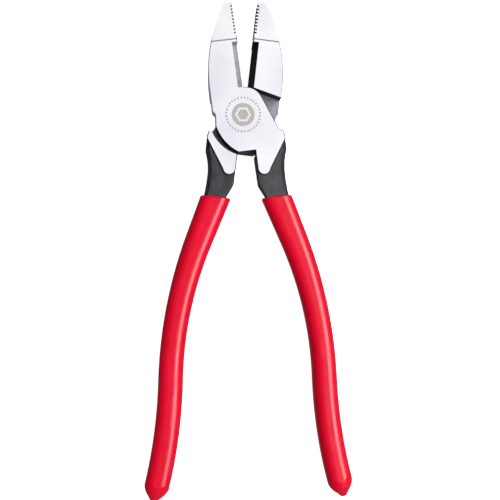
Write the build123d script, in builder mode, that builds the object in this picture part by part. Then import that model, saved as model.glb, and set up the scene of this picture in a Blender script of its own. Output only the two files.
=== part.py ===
"""Lineman pliers: two forged halves on one flush rivet, with dipped vinyl grips.

The tool lies on its back face. +Z runs through its thickness, +Y points to the jaw tips
and the Z axis is the rivet's axis. One half is drawn with the jaws shut, where its mating
face lies in the plane X = 0: jaw on the left, lap boss in front, handle on the right.
The other half is the same forging turned over, and the two swing apart to the rest pose.
"""
import os

from build123d import *

# Head
thickness = 16.0            # over the two ground faces
half_opening = 7.0          # degrees that each half is swung from shut at rest
lap_clearance = 0.10        # between the two lap faces
mating_clearance = 0.10     # between the jaws when shut
jaw_half_width = 16.25
tip_y = 49.3
tip_width = 3.2
crease_y = 31.2             # where the nose starts to slope
crease_x = 12.6
nose_drop = 2.0             # each face falls this much from the crease to the tip
edge_break = 0.4            # bevel round the ground faces

# Cutting knives and teeth on the mating face
throat_radius = 8.3
throat_clearance = 0.5
knife_end_y = 29.9
knife_width = 2.8
tooth_start_y = 34.2
tooth_pitch = 1.63
tooth_depth = 0.75
tooth_count = 9

# Lap joint
boss_bottom_y = -22.0
shoulder_x = 16.6
inner_edge_x = 1.5
pocket_wall_start = (-18.25, 4.8)   # under the jaw, where the other half's shoulder turns
pocket_wall_end = (-3.0, 8.3)
shoulder_high = (14.6, -14.6)       # the arc that the other half's boss swings along
shoulder_low = (1.4, -24.0)
pocket_reach = 25.0

# Rivet
rivet_radius = 4.0
rivet_head_radius = 5.2
running_clearance = 0.05

# Tang and grip follow one centreline: a neck that bends out, then a long belly and a tail
neck_radius = 57.0
neck_turn = 17.8
neck_straight = 19.3
belly_radius = 196.0
belly_turn = -20.1
tail_radius = 235.0
tail_turn = 15.2
neck_stop = 0.1053          # shares of the centreline where its bends change
belly_start = 0.2201
belly_stop = 0.6292
tang_profile = ((-14.0, 7.3), (-31.0, 6.9), (-43.0, 5.3), (-56.0, 4.8))   # Y and half thickness
tang_bevel = 1.8            # down the tang's outer corners
core_width = 10.4           # tang inside the grip
core_end_width = 6.6
core_thickness = 8.0
core_lead = 0.0
core_stop = 0.8976
dip_depth = 44.6            # the vinyl stops level, this far below the rivet's axis
grip_lip = 0.5
grip_lead = 8.0
grip_width = 14.3
grip_end_width = 11.8
grip_thickness = 12.8
grip_edge_radius = 5.0
drip_start = 0.9322         # share of the centreline where the drip's axis starts
drip_profile = ((-3.0, 6.75), (-1.0, 6.35), (1.6, 5.6), (3.5, 4.5), (7.2, 1.45), (7.5, 0.7))

through = 40.0              # cuts that pass through the whole head
mid_z = thickness / 2
mating_x = -mating_clearance / 2
lap_z = mid_z + lap_clearance / 2


def head_outline():
    """One half of the head seen from the front: jaw, lap boss and ground tongue."""
    with BuildLine() as outline:
        side = Line((-jaw_half_width, -1.4), (-jaw_half_width, 9.0))
        cheek = TangentArc(side @ 1, (-crease_x, crease_y), tangent=side % 1)
        nose = TangentArc(cheek @ 1, (-tip_width - 1.5, tip_y - 1.0), tangent=cheek % 1)
        Polyline(nose @ 1, (-tip_width, tip_y), (mating_x, tip_y), (mating_x, throat_radius))
        throat = CenterArc((0, 0), throat_radius, 90, -72)
        Line((mating_x, throat_radius), throat @ 0)
        FilletPolyline(throat @ 1, (13.9, -12.9), (16.2, -14.5), (shoulder_x, -18.0), (7.6, -31.5),
                       radius=(2.0, 1.0, 0.5))
        tongue = ThreePointArc((7.6, -31.5), (4.2, -33.9), (inner_edge_x, -31.0))
        Polyline(tongue @ 1, (inner_edge_x, boss_bottom_y), (-6.5, boss_bottom_y))
        ThreePointArc((-6.5, boss_bottom_y), (-12.8, -15.6), (-15.6, -8.4))
        Polyline((-15.6, -8.4), (-15.1, -3.1), (-jaw_half_width, -1.4))
    return outline


def handle_line():
    """Centreline of the handle, from inside the shoulder down to the end of the tang."""
    with BuildLine() as line:
        neck = JernArc((8.2, -30.0), (-0.05, -1.0), neck_radius, neck_turn)
        straight = Line(neck @ 1, neck @ 1 + (neck % 1) * neck_straight)
        belly = JernArc(straight @ 1, straight % 1, belly_radius, belly_turn)
        JernArc(belly @ 1, belly % 1, tail_radius, tail_turn)
    return line


def beside(line, share, offset):
    """Point at a share of the centreline, set off to its inner (+) or outer (-) side."""
    direction = line % share
    return (line @ share) + Vector(direction.Y, -direction.X) * offset


def handle_outline(line, lead, stop, start_width, stop_width):
    """Bar of falling width along the centreline. It starts lead mm above the neck."""
    stations = ((neck_stop, start_width), (belly_start, start_width * 0.5 + stop_width * 0.5),
                (belly_stop, stop_width), (stop, stop_width))
    with BuildLine() as outline:
        ends = []
        for side in (0.5, -0.5):
            points = [beside(line, share, side * width) for share, width in stations]
            shank = Line(points[0] - (line % neck_stop) * lead, points[1])
            belly = TangentArc(shank @ 1, points[2], tangent=shank % 1)
            tail = TangentArc(belly @ 1, points[3], tangent=belly % 1)
            ends.append((shank @ 0, tail @ 1))
        Line(ends[0][0], ends[1][0])
        Line(ends[0][1], ends[1][1])
    return outline


def make_head():
    """The head as a flat block, before the lap, the knives and the teeth are cut."""
    with BuildPart() as head:
        with BuildSketch():
            add(head_outline().line)
            make_face()
        extrude(amount=thickness)
        broad_faces = head.faces().filter_by(Axis.Z)
        chamfer(broad_faces.edges(), length=edge_break)
        with BuildSketch(Plane.YZ):
            for face_z, drop in ((thickness, -nose_drop), (0.0, nose_drop)):
                Polygon((crease_y, face_z), (tip_y + 1.0, face_z + drop), (tip_y + 1.0, face_z),
                        align=None)
        extrude(amount=through, both=True, mode=Mode.SUBTRACT)
    return head


def make_half(hole_radius, sink_radius):
    """One forging with the jaws shut, before it is swung to the rest pose."""
    handle = handle_line().wire()
    head = make_head()
    with BuildPart() as half:
        # Tang: a forged bar with bevelled corners, thinning towards the grip
        with BuildSketch():
            with BuildLine():
                inner = Polyline((inner_edge_x, -16.0), (inner_edge_x, -38.0), (4.4, -44.5), (5.8, -51.0))
                outer = TangentArc((shoulder_x, -23.0), (14.4, -34.0), tangent=(-0.4, -1.0))
                outer_end = TangentArc(outer @ 1, (16.2, -52.0), tangent=outer % 1)
                Line(outer_end @ 1, inner @ 1)
                Polyline(outer @ 0, (shoulder_x, -16.0), inner @ 0)
            make_face()
        extrude(amount=thickness)
        with BuildSketch(Plane.YZ):
            with BuildLine():
                top = Polyline([(y, mid_z + half) for y, half in tang_profile])
                bottom = Polyline([(y, mid_z - half) for y, half in tang_profile])
                Line(top @ 0, bottom @ 0)
                Line(top @ 1, bottom @ 1)
            make_face()
        extrude(amount=through, both=True, mode=Mode.INTERSECT)
        broad_faces = half.faces().filter_by(lambda face: abs(face.normal_at().Z) > 0.9)
        outer_edges = broad_faces.edges().filter_by_position(Axis.X, 13.0, 18.0)
        outer_edges = outer_edges.filter_by(lambda edge: abs((edge % 0.5).X) < 0.8)
        chamfer(outer_edges, length=tang_bevel)

        # Core of the tang inside the grip
        with BuildSketch(Plane.XY.offset(mid_z - core_thickness / 2)):
            add(handle_outline(handle, core_lead, core_stop, core_width, core_end_width).line)
            make_face()
        extrude(amount=core_thickness)

        # Head at its full ground thickness, over the tang's root
        add(head.part)

        # Milled pocket behind the boss, where the other half's boss lies
        with BuildSketch():
            with BuildLine():
                wall = Line(pocket_wall_start, pocket_wall_end)
                root = RadiusArc(wall @ 1, (0.5, throat_radius + throat_clearance),
                                 throat_radius + throat_clearance)
                Polyline(root @ 1, (pocket_reach, 9.0), (pocket_reach, shoulder_high[1]), shoulder_high)
                ThreePointArc(shoulder_high, (9.2, -20.7), shoulder_low)
                Polyline(shoulder_low, (-pocket_reach, shoulder_low[1]), wall @ 0)
            make_face()
        extrude(amount=lap_z, mode=Mode.SUBTRACT)

        # Cutting knife: a ridge at mid thickness, reached by a bevel from either face
        with BuildSketch(Plane.XZ.offset(-throat_radius)):
            with BuildLine():
                Polyline((-knife_width, -1.0), (-knife_width, mid_z - knife_width), (mating_x, mid_z),
                         (-knife_width, mid_z + knife_width), (-knife_width, thickness + 1.0),
                         (2.0, thickness + 1.0), (2.0, -1.0), close=True)
            make_face()
        extrude(amount=-(knife_end_y - throat_radius), mode=Mode.SUBTRACT)

        # Gripping teeth: grooves across the mating face
        with BuildSketch():
            with Locations([(mating_x, tooth_start_y + i * tooth_pitch) for i in range(tooth_count)]):
                Polygon((-tooth_depth, 0), (0.3, tooth_pitch * 0.6), (0.3, -tooth_pitch * 0.6), align=None)
        extrude(amount=thickness, mode=Mode.SUBTRACT)

        # Rivet hole, countersunk from the front
        with Locations((0, 0, thickness)):
            CounterSinkHole(radius=hole_radius, counter_sink_radius=sink_radius, counter_sink_angle=90)
    return half


def make_grip(tang):
    """Dipped vinyl over the tang: a soft rounded bar that narrows to a drip."""
    handle = handle_line().wire()
    with BuildPart() as grip:
        with BuildSketch(Plane.XY.offset(mid_z - grip_thickness / 2)):
            add(handle_outline(handle, grip_lead, 1.0, grip_width, grip_end_width).line)
            make_face()
        extrude(amount=grip_thickness)
        flats = grip.faces().filter_by(Axis.Z)
        end_faces = grip.faces().filter_by(GeomType.PLANE).sort_by(Axis.Y)
        fillet(flats.edges() - end_faces[0].edges() - end_faces[-1].edges(), radius=grip_edge_radius)

        # The vinyl ran to a drip as it set
        drip_axis = Plane(origin=handle @ drip_start + Vector(0, 0, mid_z), x_dir=handle % drip_start,
                          z_dir=(0, 0, 1))
        with BuildSketch(drip_axis):
            with BuildLine():
                Polyline(*drip_profile, (drip_profile[-1][0], 0), (grip_width, 0), (grip_width, grip_width),
                         (drip_profile[0][0], grip_width), close=True)
            make_face()
        revolve(axis=Axis(drip_axis.origin, drip_axis.x_dir), mode=Mode.SUBTRACT)
        split(bisect_by=Plane.XZ.offset(dip_depth))
        mouth = grip.faces().sort_by(Axis.Y)[-1]
        chamfer(mouth.edges(), length=grip_lip)
        add(tang.part, mode=Mode.SUBTRACT)
    return grip


rest_front = Plane.XY.rotated((0, 0, half_opening))
rest_rear = Plane(origin=(0, 0, thickness), x_dir=Vector(-1, 0, 0).rotate(Axis.Z, -half_opening),
                  z_dir=(0, 0, -1))

front_blank = make_half(rivet_radius, rivet_head_radius)
rear_blank = make_half(rivet_radius + running_clearance, rivet_head_radius + running_clearance)
front_cover = make_grip(front_blank)

with BuildPart(rest_front) as front_half:
    add(front_blank.part)

with BuildPart(rest_rear) as rear_half:
    add(rear_blank.part)

with BuildPart(rest_front) as front_grip:
    add(front_cover.part)

with BuildPart(rest_rear) as rear_grip:
    add(front_cover.part)

# Rivet: a plain shank with a countersunk head ground flush at either face
with BuildPart() as rivet:
    with BuildSketch(Plane.XZ):
        with BuildLine():
            Polyline((0, 0), (rivet_head_radius, 0), (rivet_radius, rivet_head_radius - rivet_radius),
                     (rivet_radius, thickness - rivet_head_radius + rivet_radius),
                     (rivet_head_radius, thickness), (0, thickness), close=True)
        make_face()
    revolve(axis=Axis.Z)

os.makedirs("parts", exist_ok=True)
pieces = {"front_half": front_half, "rear_half": rear_half, "rivet": rivet,
          "front_grip": front_grip, "rear_grip": rear_grip}
for name, piece in pieces.items():
    piece.part.label = name
    export_step(piece.part, f"parts/{name}.step")
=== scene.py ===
"""Looks of a pair of lineman pliers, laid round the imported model.

The head is forged chrome-vanadium steel: ground and polished on its broad faces, and black
oxide on its walls, recesses and tangs. The handles are dipped in red vinyl. The tool lies on
its back on a pale studio floor, with the camera over it.
"""

import math

import bpy
from bpy.props import FloatProperty, FloatVectorProperty, PointerProperty
from mathutils import Matrix, Vector


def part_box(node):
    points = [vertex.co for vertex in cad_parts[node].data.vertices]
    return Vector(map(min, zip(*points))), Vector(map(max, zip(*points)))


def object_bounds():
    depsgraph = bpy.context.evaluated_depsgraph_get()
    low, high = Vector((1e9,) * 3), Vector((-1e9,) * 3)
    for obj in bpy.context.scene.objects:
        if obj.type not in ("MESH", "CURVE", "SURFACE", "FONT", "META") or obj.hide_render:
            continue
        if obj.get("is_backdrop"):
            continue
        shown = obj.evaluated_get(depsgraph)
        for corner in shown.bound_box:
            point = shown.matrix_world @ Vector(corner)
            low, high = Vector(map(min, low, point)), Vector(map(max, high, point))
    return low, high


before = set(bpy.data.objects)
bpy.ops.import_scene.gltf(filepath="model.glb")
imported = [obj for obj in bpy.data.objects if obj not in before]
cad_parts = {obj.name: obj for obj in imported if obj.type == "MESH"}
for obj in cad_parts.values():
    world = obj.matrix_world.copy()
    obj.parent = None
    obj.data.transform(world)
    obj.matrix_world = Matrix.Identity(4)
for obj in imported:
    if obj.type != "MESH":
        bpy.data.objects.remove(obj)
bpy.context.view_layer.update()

bl_info = {
    "name": "Lineman Pliers Looks",
    "version": (1, 0, 0),
    "blender": (4, 5, 0),
    "location": "View3D > Sidebar > Pliers",
    "description": "Finishes, etched mark, light and camera for a pair of lineman pliers",
    "category": "Object",
}

MM = 0.001
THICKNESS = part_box("front_half")[1].z       # the head's faces lie at Z = 0 and at this height
MID_Z = THICKNESS / 2
HALF_OPENING = math.radians(7.0)            # each half is swung this far from shut at rest
BOTH_FACES = 0.9                            # a face this square to Z is a broad face
FACE_SLACK = 0.05 * MM
NOSE_Y = 31.0 * MM                          # the ground nose slopes lie beyond this
EDGE_BREAK = 0.5 * MM                       # bevels round the ground faces lie within this of them
JAW_SIDE_X = -11.0 * MM                     # ground outer side of the jaw, in the shut frame
JAW_SIDE_Y = 2.0 * MM
KNIFE_Y = (8.4 * MM, 29.95 * MM)            # the knives run between these
KNIFE_X = -3.0 * MM
SIDE_SQUARE = 0.3                           # ground sides face -X by at least this much
TANG_BEVEL_SQUARE = 0.3                     # the tang's bevels face Z by at least this much
LAND_SQUARE = 0.95                          # the lands between the teeth face this nearly along X
BOSS_NOTCH_Y = -9.0 * MM                    # the boss's edge is ground bright above this
TANG_Y = -23.0 * MM                         # the tang's bevels lie below this
KNIFE_SHOULDER = 0.2 * MM                   # roundness drawn on the edges of the satin steel
SIDE_SHOULDER = 5.0 * MM
LAP_BAND = 0.4 * MM                         # lap faces lie this near to mid thickness
GRIND_SPACING = 0.9 * MM    # belt lines are nearer 0.1 mm, drawn coarser so that they show
SCALE_GRAIN = 0.7 * MM      # forging scale is nearer 0.2 mm, drawn coarser so that it shows
PEEL_SPACING = 1.6 * MM     # the vinyl's orange peel
MILLING_STEP = 0.8 * MM     # feed marks are nearer 0.2 mm, drawn coarser so that they show
MARK_X = -2.06 * MM         # centre of the etched mark, in the shut frame
MARK_Y = -4.57 * MM
HEXAGON_SHARE = 0.52        # the hexagon's apothem as a share of the disc's radius
HEXAGON_HALF_WIDTH = 0.45 * MM
DOT_COUNT = 32
DOT_RADIUS = 0.5 * MM
CREASE_Y = 31.2 * MM        # the nose slopes start at this crease, in the shut frame
CREASE_HALF_WIDTH = 0.3 * MM
TOOTH_ROOT_X = -0.8 * MM    # bottoms of the grooves between the teeth, in the shut frame
TOOTH_START_Y = 34.2 * MM
TOOTH_PITCH = 1.63 * MM
TOOTH_COUNT = 9
ROOT_RADIUS = 0.42 * MM
AIM_OFFSET = (1.1 * MM, 1.2 * MM)           # camera's aim, from the middle of the tool
FLOOR_SIZE = 4.0
FLOOR_GAP = 0.05 * MM                       # keeps the floor clear of the tool's back
LIGHT_LENGTH = 1.3
STRIP_PLACE = Vector((0.56, 0.0, 0.83))     # middle of each light, from the aim
STRIP_WIDTH = 0.2
PANEL_PLACE = Vector((0.62, 0.0, 0.78))
PANEL_WIDTH = 0.5
FLOOR_BOUNCE = 0.7                          # light from below, as a share of the walls'
FLAG_SHARE = 0.5                            # light that the dark flag on the left lets through
FLAG_EDGES = (-0.75, 0.1)                   # X of the direction where the flag ends
SOFTBOX_EDGES = (0.55, 0.88)                # Z of the direction where the softbox starts
HORIZON_EDGES = (-0.15, 0.15)


def hex_colour(text):
    """Linear colour from an sRGB hex value such as b8141f."""
    channels = [int(text[i:i + 2], 16) / 255 for i in (0, 2, 4)]
    linear = [c / 12.92 if c <= 0.04045 else ((c + 0.055) / 1.055) ** 2.4 for c in channels]
    return (*linear, 1.0)


def add_node(tree, kind, settings=None, **inputs):
    """Add one node, with its settings and its inputs: a value, or an output to link from."""
    node = tree.nodes.new(kind)
    for name, value in (settings or {}).items():
        setattr(node, name, value)
    for name, value in inputs.items():
        key = int(name[1:]) if name[0] == "i" and name[1:].isdigit() else name.replace("_", " ")
        socket = node.inputs[key]
        if isinstance(value, bpy.types.NodeSocket):
            tree.links.new(value, socket)
        else:
            socket.default_value = value
    return node


def new_material(name):
    """An empty node material and its tree, with the shader and output in place."""
    material = bpy.data.materials.new(name)
    material.use_nodes = True
    tree = material.node_tree
    tree.nodes.clear()
    shader = add_node(tree, "ShaderNodeBsdfPrincipled")
    add_node(tree, "ShaderNodeOutputMaterial", Surface=shader.outputs["BSDF"])
    return material, tree, shader


def object_point(tree):
    """The point in the object's own space, in metres."""
    return add_node(tree, "ShaderNodeTexCoord").outputs["Object"]


def maths(tree, operation, first, second=0.0, clamp=False):
    """One sum on numbers or outputs."""
    settings = {"operation": operation, "use_clamp": clamp}
    return add_node(tree, "ShaderNodeMath", settings, i0=first, i1=second).outputs[0]


def reach(tree, x, y):
    """Distance across the XY plane."""
    squares = maths(tree, "ADD", maths(tree, "MULTIPLY", x, x), maths(tree, "MULTIPLY", y, y))
    return maths(tree, "SQRT", squares)


def speckle(tree, point, spacing, detail=2.0, stretch=(1.0, 1.0, 1.0)):
    """Even noise whose grains are spacing metres apart, drawn out along an axis where wanted."""
    scaled = add_node(tree, "ShaderNodeVectorMath", {"operation": "MULTIPLY"}, i0=point, i1=stretch)
    noise = add_node(tree, "ShaderNodeTexNoise", Vector=scaled.outputs[0],
                     Scale=1.0 / spacing, Detail=detail, Roughness=0.55)
    return noise.outputs["Fac"]


def spread(tree, value, low, high, from_low=0.3, from_high=0.7):
    """Turn a noise value into a range of roughness or strength."""
    return add_node(tree, "ShaderNodeMapRange", i0=value, i1=from_low, i2=from_high,
                    i3=low, i4=high).outputs[0]


def blend_colour(tree, share, first, second):
    """Mix two colours, each a value or an output."""
    return add_node(tree, "ShaderNodeMix", {"data_type": "RGBA"}, i0=share, i6=first,
                    i7=second).outputs[2]


def raise_surface(tree, shader, height, depth, strength, rounded=None):
    """Bump of a given depth in metres, on the surface's own normal or on a rounded one."""
    bump = add_node(tree, "ShaderNodeBump", Strength=strength, Distance=depth, Height=height)
    if rounded is not None:
        tree.links.new(rounded, bump.inputs["Normal"])
    tree.links.new(bump.outputs["Normal"], shader.inputs["Normal"])


def rounded_normal(tree, radius):
    """The normal that the surface would have with its edges rounded to a radius."""
    return add_node(tree, "ShaderNodeBevel", {"samples": 8}, Radius=radius).outputs[0]


def near_edges(tree, radius):
    """How near a point lies to an edge: the rounded normal leans away from the true one there."""
    true_normal = add_node(tree, "ShaderNodeNewGeometry").outputs["Normal"]
    dot = add_node(tree, "ShaderNodeVectorMath", {"operation": "DOT_PRODUCT"},
                   i0=rounded_normal(tree, radius), i1=true_normal).outputs["Value"]
    return maths(tree, "SUBTRACT", 1.0, dot, clamp=True)


def jaw_lines(tree, point, node):
    """Masks of the painted shade along the crease across the nose, and of the painted shade at the
    bottom of each groove between the teeth.
    """
    to_shut = shut_frame(node)
    shut_point = add_node(tree, "ShaderNodeMapping", Vector=point,
                          Location=to_shut.to_translation(), Rotation=to_shut.to_euler()).outputs[0]
    split = add_node(tree, "ShaderNodeSeparateXYZ", i0=shut_point)
    x, y = split.outputs["X"], split.outputs["Y"]
    # painted shade: a thin line along the crease where the nose slopes start
    off_crease = maths(tree, "ABSOLUTE", maths(tree, "SUBTRACT", y, CREASE_Y))
    crease = maths(tree, "LESS_THAN", off_crease, CREASE_HALF_WIDTH)

    # painted shade: a dark dot at the bottom of each groove between the teeth
    first_edge = TOOTH_START_Y - TOOTH_PITCH / 2
    along = maths(tree, "SUBTRACT", y, first_edge)
    off_root = maths(tree, "SUBTRACT", maths(tree, "MODULO", along, TOOTH_PITCH), TOOTH_PITCH / 2)
    across = maths(tree, "SUBTRACT", x, TOOTH_ROOT_X)
    in_root = maths(tree, "LESS_THAN", reach(tree, off_root, across), ROOT_RADIUS)
    in_row = maths(tree, "MULTIPLY", maths(tree, "GREATER_THAN", along, 0.0),
                   maths(tree, "LESS_THAN", along, TOOTH_PITCH * TOOTH_COUNT))
    painted_root_shade = maths(tree, "MULTIPLY", in_root, in_row)
    return crease, painted_root_shade


def etched_mark(tree, point):
    """Mask of a plain maker's-style mark: a disc with a hexagon ring in it, inside a ring of dots."""
    sizes = bpy.context.scene.pliers_marks
    turn = Matrix.Rotation(HALF_OPENING, 3, "Z")
    centre = turn @ Vector((MARK_X, MARK_Y, 0.0))
    local = add_node(tree, "ShaderNodeVectorMath", {"operation": "SUBTRACT"}, i0=point, i1=centre)
    split = add_node(tree, "ShaderNodeSeparateXYZ", i0=local.outputs[0])
    x, y = split.outputs["X"], split.outputs["Y"]
    radius = reach(tree, x, y)
    angle = maths(tree, "ADD", maths(tree, "ARCTAN2", y, x), math.pi)

    disc = maths(tree, "LESS_THAN", radius, sizes.disc_radius)
    side_turn = maths(tree, "SUBTRACT", maths(tree, "MODULO", angle, math.pi / 3), math.pi / 6)
    flat_reach = maths(tree, "MULTIPLY", radius, maths(tree, "COSINE", side_turn))
    ring_middle = sizes.disc_radius * HEXAGON_SHARE
    off_ring = maths(tree, "ABSOLUTE", maths(tree, "SUBTRACT", flat_reach, ring_middle))
    plate = maths(tree, "MULTIPLY", disc, maths(tree, "GREATER_THAN", off_ring, HEXAGON_HALF_WIDTH))

    dot_turn = 2 * math.pi / DOT_COUNT
    along = maths(tree, "SUBTRACT", maths(tree, "MODULO", angle, dot_turn), dot_turn / 2)
    across = maths(tree, "SUBTRACT", radius, sizes.ring_radius)
    arc = maths(tree, "MULTIPLY", along, sizes.ring_radius)
    dots = maths(tree, "LESS_THAN", reach(tree, across, arc), DOT_RADIUS)

    height = add_node(tree, "ShaderNodeSeparateXYZ", i0=point).outputs["Z"]
    on_front = maths(tree, "GREATER_THAN", height, THICKNESS - FACE_SLACK)
    return maths(tree, "MULTIPLY", maths(tree, "MAXIMUM", plate, dots), on_front)


def polished_steel(node, marked):
    """Chrome-vanadium steel, belt ground and polished: near white, with faint lines across the jaws,
    and painted shade along the nose's crease and at the roots of the teeth.
    """
    colours = bpy.context.scene.pliers_finishes
    material, tree, shader = new_material(f"polished_steel_{node}")
    point = object_point(tree)
    lines = speckle(tree, point, GRIND_SPACING, 3.0, (0.06, 1.0, 1.0))
    waves = speckle(tree, point, 22.0 * MM, 1.0)
    tone = spread(tree, waves, 0.0, 1.0)
    colour = blend_colour(tree, tone, colours.steel_shade, colours.steel)
    # painted shade: a grey line along the crease and dark dots at the roots of the teeth
    crease, painted_root_shade = jaw_lines(tree, point, node)
    colour = blend_colour(tree, crease, colour, colours.crease)
    colour = blend_colour(tree, painted_root_shade, colour, colours.black_oxide_and_root_shade)
    roughness = spread(tree, lines, 0.09, 0.16)
    shader.inputs["Metallic"].default_value = 1.0
    if marked:  # the etching is a dull oxide, not bare metal
        mark = etched_mark(tree, point)
        grain = spread(tree, speckle(tree, point, 0.5 * MM), 0.8, 1.0)
        share = maths(tree, "MULTIPLY", mark, grain)
        colour = blend_colour(tree, share, colour, colours.etching)
        roughness = maths(tree, "ADD", roughness, maths(tree, "MULTIPLY", mark, 0.2))
        tree.links.new(maths(tree, "SUBTRACT", 1.0, share), shader.inputs["Metallic"])
        shader.inputs["Specular IOR Level"].default_value = 0.1
    tree.links.new(colour, shader.inputs["Base Color"])
    tree.links.new(roughness, shader.inputs["Roughness"])
    height = maths(tree, "ADD", maths(tree, "MULTIPLY", lines, 0.12), waves)
    raise_surface(tree, shader, height, 0.05 * MM, 0.35)
    return material


def satin_steel(name, shade, light, shoulder):
    """Steel off the grinding wheel, left bare: satin, with soft shoulders and fine lines."""
    material, tree, shader = new_material(name)
    point = object_point(tree)
    lines = speckle(tree, point, GRIND_SPACING, 2.0, (0.3, 2.0, 0.3))
    colour = blend_colour(tree, spread(tree, lines, 0.0, 1.0), shade, light)
    tree.links.new(colour, shader.inputs["Base Color"])
    tree.links.new(spread(tree, lines, 0.38, 0.55), shader.inputs["Roughness"])
    shader.inputs["Metallic"].default_value = 0.25
    raise_surface(tree, shader, lines, 0.03 * MM, 0.4, rounded_normal(tree, shoulder))
    return material


def burnished_oxide():
    """Black oxide on the tangs' faces, burnished to charcoal, with painted shade that darkens it to
    near black along the edges.
    """
    material, tree, shader = new_material("burnished_oxide")
    point = object_point(tree)
    colours = bpy.context.scene.pliers_finishes
    mottle = speckle(tree, point, 3.0 * MM, 4.0, (1.0, 0.4, 1.0))
    scale = speckle(tree, point, SCALE_GRAIN, 3.0)
    coat = blend_colour(tree, spread(tree, mottle, 0.0, 1.0), colours.oxide_shade, colours.oxide)
    # painted shade: a near-black band drawn along every edge of the tangs' faces
    painted_edge_shade = maths(tree, "MULTIPLY", near_edges(tree, 1.0 * MM), 5.0, clamp=True)
    tree.links.new(blend_colour(tree, painted_edge_shade, coat, colours.pits_and_painted_edge_shade), shader.inputs["Base Color"])
    tree.links.new(spread(tree, scale, 0.34, 0.5), shader.inputs["Roughness"])
    shader.inputs["Specular IOR Level"].default_value = 0.14
    raise_surface(tree, shader, scale, 0.08 * MM, 0.5)
    return material


def black_oxide():
    """Thick black oxide left in the recesses and on the walls: near black and matt."""
    material, tree, shader = new_material("black_oxide")
    point = object_point(tree)
    colours = bpy.context.scene.pliers_finishes
    scale = speckle(tree, point, SCALE_GRAIN, 3.0)
    share = spread(tree, scale, 0.0, 1.0)
    coat = blend_colour(tree, share, colours.pits_and_painted_edge_shade, colours.black_oxide_and_root_shade)
    tree.links.new(coat, shader.inputs["Base Color"])
    tree.links.new(spread(tree, scale, 0.5, 0.65), shader.inputs["Roughness"])
    shader.inputs["Specular IOR Level"].default_value = 0.2
    raise_surface(tree, shader, scale, 0.06 * MM, 0.4)
    return material


def milled_lap():
    """Lap faces, face milled and phosphated: mid grey, matt, with arcs left round the rivet."""
    material, tree, shader = new_material("milled_lap")
    point = object_point(tree)
    colours = bpy.context.scene.pliers_finishes
    split = add_node(tree, "ShaderNodeSeparateXYZ", i0=point)
    x, y = split.outputs["X"], split.outputs["Y"]
    turns = maths(tree, "MULTIPLY", reach(tree, x, y), 2 * math.pi / MILLING_STEP)
    arcs = maths(tree, "SINE", turns)
    blotch = speckle(tree, point, 1.6 * MM, 4.0)
    share = maths(tree, "ADD", spread(tree, blotch, 0.0, 0.8), maths(tree, "MULTIPLY", arcs, 0.15),
                  clamp=True)
    colour = blend_colour(tree, share, colours.lap_shade, colours.lap)
    tree.links.new(colour, shader.inputs["Base Color"])
    tree.links.new(spread(tree, blotch, 0.42, 0.62), shader.inputs["Roughness"])
    shader.inputs["Metallic"].default_value = 0.3
    raise_surface(tree, shader, maths(tree, "ADD", arcs, blotch), 0.02 * MM, 0.5)
    return material


def dipped_vinyl():
    """Dip-moulded PVC plastisol: saturated red, glossy, with soft runs and a faint orange peel."""
    material, tree, shader = new_material("dipped_vinyl")
    point = object_point(tree)
    colours = bpy.context.scene.pliers_finishes
    runs = speckle(tree, point, 14.0 * MM, 2.0, (1.0, 0.35, 1.0))
    peel = speckle(tree, point, PEEL_SPACING, 2.0)
    smudge = speckle(tree, point, 6.0 * MM, 3.0)
    colour = blend_colour(tree, spread(tree, runs, 0.0, 1.0), colours.vinyl_shade, colours.vinyl)
    tree.links.new(colour, shader.inputs["Base Color"])
    tree.links.new(spread(tree, smudge, 0.25, 0.34), shader.inputs["Roughness"])
    shader.inputs["IOR"].default_value = 1.53
    shader.inputs["Specular IOR Level"].default_value = 0.11
    height = maths(tree, "ADD", maths(tree, "MULTIPLY", peel, 0.1), runs)
    raise_surface(tree, shader, height, 0.12 * MM, 0.3)
    return material


def paper_floor():
    """Seamless white paper: matt, with a trace of pulp."""
    material, tree, shader = new_material("studio_paper")
    point = object_point(tree)
    colours = bpy.context.scene.pliers_finishes
    pulp = speckle(tree, point, 8.0 * MM, 3.0)
    colour = blend_colour(tree, spread(tree, pulp, 0.0, 1.0), colours.paper_shade, colours.paper)
    tree.links.new(colour, shader.inputs["Base Color"])
    tree.links.new(colour, shader.inputs["Emission Color"])
    shader.inputs["Emission Strength"].default_value = bpy.context.scene.pliers_stage.floor_glow
    shader.inputs["Roughness"].default_value = 0.9
    return material


def colour_setting(name, description, hex_text):
    """A colour that the user can change, from an sRGB hex value."""
    return FloatVectorProperty(name=name, description=description, subtype="COLOR", size=4,
                               min=0.0, max=1.0, default=hex_colour(hex_text))


def length_setting(name, description, default):
    """A length that the user can change, in metres."""
    return FloatProperty(name=name, description=description, default=default, min=0.0,
                         unit="LENGTH", precision=4)


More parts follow.
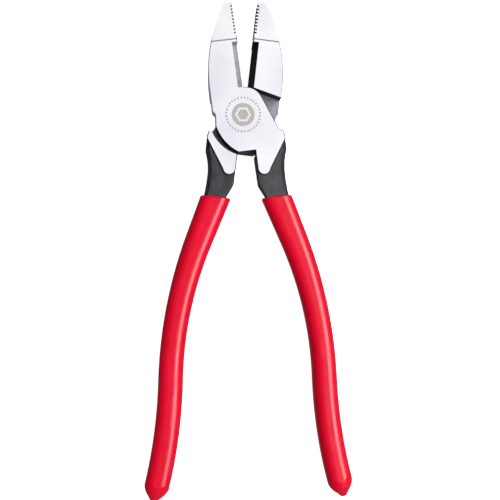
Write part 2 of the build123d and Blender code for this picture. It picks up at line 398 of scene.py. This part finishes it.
class PliersFinishes(bpy.types.PropertyGroup):
    """Colours of each finish."""
    steel: colour_setting("Steel", "Polished chrome-vanadium steel", "f4f4f7")
    steel_shade: colour_setting("Steel shade", "Where the polish dips", "e0e2ea")
    # painted shade: the grey of the line drawn along the nose's crease
    crease: colour_setting("Crease", "The crease across the nose", "84848c")
    side: colour_setting("Side", "Ground outer sides of the jaws", "d2d2d8")
    side_shade: colour_setting("Side shade", "Between the grinding lines", "b6b6be")
    knife: colour_setting("Knife", "Ground knives and teeth", "a6a6ac")
    knife_shade: colour_setting("Knife shade", "Between the grinding lines", "84848c")
    oxide: colour_setting("Burnished oxide", "Black oxide on the tangs' faces", "3a3a40")
    oxide_shade: colour_setting("Burnished oxide shade", "Where the oxide is thicker", "1e1e22")
    # also the painted shade at the roots of the teeth
    black_oxide_and_root_shade: colour_setting("Black oxide", "Black oxide on walls and in recesses", "121215")
    # also the painted shade drawn along the tangs' edges
    pits_and_painted_edge_shade: colour_setting("Black oxide shade", "Pits in the oxide", "08080a")
    lap: colour_setting("Lap", "Phosphated lap face", "6a6974")
    lap_shade: colour_setting("Lap shade", "Darker blotches on the lap face", "4b4a52")
    etching: colour_setting("Etching", "Etched mark", "9c948e")
    vinyl: colour_setting("Vinyl", "Dipped vinyl grips", "da002a")
    vinyl_shade: colour_setting("Vinyl shade", "Where the vinyl is thickest", "ce0024")
    paper: colour_setting("Paper", "Studio floor", "ffffff")
    paper_shade: colour_setting("Paper shade", "Pulp in the studio floor", "fbfbfb")


class PliersMarks(bpy.types.PropertyGroup):
    """Sizes of the etched mark."""
    disc_radius: length_setting("Disc radius", "Radius of the etched disc", 5.4 * MM)
    ring_radius: length_setting("Ring radius", "Radius of the ring of dots", 8.0 * MM)


class PliersStage(bpy.types.PropertyGroup):
    """Camera, floor and light."""
    camera_height: length_setting("Camera height", "Camera's height over the ground face", 0.35)
    camera_shift: length_setting("Camera shift", "Camera's distance left of its aim", 0.0223)
    field_width: length_setting("Field width", "Width seen at the ground face", 0.235)
    camera_roll: FloatProperty(name="Camera roll", description="Camera's turn about its view",
                               default=math.radians(0.6), subtype="ANGLE", unit="ROTATION")
    floor_glow: FloatProperty(name="Floor glow", description="Light that the paper lets through",
                              default=0.85, min=0.0)
    sky: FloatProperty(name="Sky", description="Brightness of the softbox overhead", default=1.03,
                       min=0.0)
    walls: FloatProperty(name="Walls", description="Brightness of the studio's walls", default=0.45,
                         min=0.0)
    key: FloatProperty(name="Key", description="Power of the strip light on the right", default=9.5,
                       min=0.0, unit="POWER")
    sheen: FloatProperty(name="Sheen", description="Power of the panel that only gloss reflects",
                         default=52.0, min=0.0, unit="POWER")


def shut_frame(node):
    """Matrix from a node's rest place to the frame its half was drawn in, with the jaws shut."""
    if not node.startswith("rear"):
        return Matrix.Rotation(-HALF_OPENING, 4, "Z")
    turned_over = Matrix.Rotation(math.pi, 4, "Y") @ Matrix.Translation((0.0, 0.0, -THICKNESS))
    return Matrix.Rotation(-HALF_OPENING, 4, "Z") @ turned_over


def on_ground_face(point, depth):
    """Whether a point is within a depth of either ground face."""
    return min(abs(point.z), abs(point.z - THICKNESS)) < depth


def half_finish(point, normal):
    """Finish of one facet of a half, from its centre and its normal in the shut frame."""
    on_jaw = point.y > JAW_SIDE_Y
    on_side = point.x < JAW_SIDE_X and point.y > BOSS_NOTCH_Y
    if abs(normal.z) > BOTH_FACES:
        if on_ground_face(point, FACE_SLACK) or point.y > NOSE_Y:
            return "polished_steel"
        return "milled_lap" if abs(point.z - MID_Z) < LAP_BAND else "burnished_oxide"
    if on_ground_face(point, EDGE_BREAK) and (on_jaw or on_side):
        return "polished_steel"
    outside_nose = point.y > NOSE_Y and normal.x < SIDE_SQUARE
    on_land = point.y > KNIFE_Y[1] and abs(normal.x) > LAND_SQUARE
    if outside_nose or on_land or on_side and normal.x < -SIDE_SQUARE:
        return "satin_side_steel"
    if point.y < TANG_Y and abs(normal.z) > TANG_BEVEL_SQUARE:
        return "burnished_oxide"
    on_knife = KNIFE_Y[0] < point.y < KNIFE_Y[1] and point.x > KNIFE_X
    return "ground_knife_steel" if on_knife and point.z > MID_Z else "black_oxide"


def rivet_finish(_point, normal):
    """The rivet's two ends are polished with the faces."""
    return "polished_steel" if abs(normal.z) > BOTH_FACES else "black_oxide"


def give_finishes(node, materials, pick):
    """Give a node its finishes, facet by facet."""
    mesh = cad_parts[node].data
    to_shut = shut_frame(node)
    turn = to_shut.to_3x3()
    mesh.materials.clear()
    names = list(materials)
    for name in names:
        mesh.materials.append(materials[name])
    for facet in mesh.polygons:
        facet.material_index = names.index(pick(to_shut @ facet.center, turn @ facet.normal))


class PLIERS_OT_halves(bpy.types.Operator):
    """Finish the two forged halves: polished faces, black oxide walls, milled laps, ground knives"""
    bl_idname = "pliers.halves"
    bl_label = "Forged halves"

    def execute(self, context):
        colours = context.scene.pliers_finishes
        knife = satin_steel("ground_knife_steel", colours.knife_shade, colours.knife, KNIFE_SHOULDER)
        side = satin_steel("satin_side_steel", colours.side_shade, colours.side, SIDE_SHOULDER)
        shared = {"black_oxide": black_oxide(), "burnished_oxide": burnished_oxide(),
                  "milled_lap": milled_lap(), "ground_knife_steel": knife, "satin_side_steel": side}
        for node, marked in (("front_half", True), ("rear_half", False)):
            give_finishes(node, {"polished_steel": polished_steel(node, marked), **shared}, half_finish)
        return {"FINISHED"}


class PLIERS_OT_rivet(bpy.types.Operator):
    """Finish the rivet: ground flush and polished with the faces, dark down its shank"""
    bl_idname = "pliers.rivet"
    bl_label = "Rivet"

    def execute(self, context):
        materials = {"polished_steel": polished_steel("rivet", True),
                     "black_oxide": black_oxide()}
        give_finishes("rivet", materials, rivet_finish)
        return {"FINISHED"}


class PLIERS_OT_grips(bpy.types.Operator):
    """Finish the two dipped grips in red vinyl"""
    bl_idname = "pliers.grips"
    bl_label = "Dipped grips"

    def execute(self, context):
        vinyl = dipped_vinyl()
        for node in ("front_grip", "rear_grip"):
            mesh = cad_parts[node].data
            mesh.materials.clear()
            mesh.materials.append(vinyl)
        return {"FINISHED"}


def aim(thing, target):
    """Turn a camera or light at a point, with its top towards +Y."""
    away = (thing.location - target).normalized()
    side = Vector((0.0, 1.0, 0.0)).cross(away).normalized()
    rotation = Matrix((side, away.cross(side), away)).transposed()
    thing.rotation_euler = rotation.to_euler()


def box_light(name, target, offset, width, power):
    """A tall soft light that lies along the tool, aimed at a point."""
    light = bpy.data.objects.new(name, bpy.data.lights.new(name, "AREA"))
    bpy.context.scene.collection.objects.link(light)
    light.data.shape = "RECTANGLE"
    light.data.size = width
    light.data.size_y = LIGHT_LENGTH
    light.data.energy = power
    light.location = target + offset
    aim(light, target)
    return light


def soft_step(tree, value, edges, low, high):
    """A smooth change from a low value to a high one between two edges."""
    return add_node(tree, "ShaderNodeMapRange", {"interpolation_type": "SMOOTHSTEP"}, i0=value,
                    i1=edges[0], i2=edges[1], i3=low, i4=high).outputs[0]


def studio_sky():
    """A bright softbox overhead, dimmer walls, and a dark flag on the left."""
    world = bpy.data.worlds.new("studio_sky")
    world.use_nodes = True
    tree = world.node_tree
    tree.nodes.clear()
    direction = add_node(tree, "ShaderNodeTexCoord").outputs["Generated"]
    split = add_node(tree, "ShaderNodeSeparateXYZ", i0=direction)
    across, height = split.outputs["X"], split.outputs["Z"]
    stage = bpy.context.scene.pliers_stage
    flag = soft_step(tree, across, FLAG_EDGES, FLAG_SHARE, 1.0)
    softbox = soft_step(tree, height, SOFTBOX_EDGES, stage.walls, stage.sky)
    over_horizon = soft_step(tree, height, HORIZON_EDGES, FLOOR_BOUNCE, 1.0)
    level = maths(tree, "MULTIPLY", maths(tree, "MULTIPLY", flag, softbox), over_horizon)
    sky = add_node(tree, "ShaderNodeBackground", Color=(1.0, 1.0, 1.0, 1.0), Strength=level)
    add_node(tree, "ShaderNodeOutputWorld", Surface=sky.outputs[0])
    bpy.context.scene.world = world


class PLIERS_OT_stage(bpy.types.Operator):
    """Lay the pale floor, light it softly and set the camera over the tool"""
    bl_idname = "pliers.stage"
    bl_label = "Floor, light and camera"

    def execute(self, context):
        scene = context.scene
        stage = scene.pliers_stage
        low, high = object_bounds()
        aim_point = Vector(((low[0] + high[0]) / 2 + AIM_OFFSET[0],
                            (low[1] + high[1]) / 2 + AIM_OFFSET[1], THICKNESS))

        bpy.ops.mesh.primitive_plane_add(size=FLOOR_SIZE, location=(0.0, 0.0, -FLOOR_GAP))
        floor = context.object
        floor.name = "floor"
        floor.data.materials.append(paper_floor())
        floor.visible_diffuse = False  # the world gives the floor's bounce instead
        floor.visible_glossy = False
        floor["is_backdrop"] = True

        camera = bpy.data.objects.new("camera", bpy.data.cameras.new("camera"))
        scene.collection.objects.link(camera)
        camera.location = aim_point + Vector((-stage.camera_shift, 0.0, stage.camera_height))
        aim(camera, aim_point)
        camera.rotation_euler.rotate_axis("Z", -stage.camera_roll)
        camera.data.angle = 2 * math.atan(stage.field_width / 2 / stage.camera_height)
        scene.camera = camera

        box_light("right_strip", aim_point, STRIP_PLACE, STRIP_WIDTH, stage.key)
        sheen = box_light("sheen_panel", aim_point, PANEL_PLACE, PANEL_WIDTH, stage.sheen)
        sheen.visible_diffuse = False  # it would wash out the colours

        studio_sky()
        scene.view_settings.view_transform = "Standard"
        return {"FINISHED"}


class PLIERS_PT_panel(bpy.types.Panel):
    """Panel with the pieces, their finishes and the stage"""
    bl_idname = "PLIERS_PT_panel"
    bl_label = "Lineman pliers"
    bl_space_type = "VIEW_3D"
    bl_region_type = "UI"
    bl_category = "Pliers"

    def draw(self, context):
        layout = self.layout
        for operator in OPERATORS:
            layout.operator(operator.bl_idname)
        for group in (context.scene.pliers_finishes, context.scene.pliers_marks,
                      context.scene.pliers_stage):
            box = layout.box()
            for name in group.__annotations__:
                box.prop(group, name)


SETTINGS = {"pliers_finishes": PliersFinishes, "pliers_marks": PliersMarks,
            "pliers_stage": PliersStage}
OPERATORS = (PLIERS_OT_halves, PLIERS_OT_rivet, PLIERS_OT_grips, PLIERS_OT_stage)


def register():
    """Add the settings, the operators and the panel."""
    for name, group in SETTINGS.items():
        bpy.utils.register_class(group)
        setattr(bpy.types.Scene, name, PointerProperty(type=group))
    for kind in (*OPERATORS, PLIERS_PT_panel):
        bpy.utils.register_class(kind)


def unregister():
    """Take away what register added."""
    for kind in (PLIERS_PT_panel, *reversed(OPERATORS)):
        bpy.utils.unregister_class(kind)
    for name, group in SETTINGS.items():
        delattr(bpy.types.Scene, name)
        bpy.utils.unregister_class(group)


def main():
    """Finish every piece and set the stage."""
    register()
    bpy.ops.pliers.halves()
    bpy.ops.pliers.rivet()
    bpy.ops.pliers.grips()
    bpy.ops.pliers.stage()


if __name__ == "__main__":
    main()
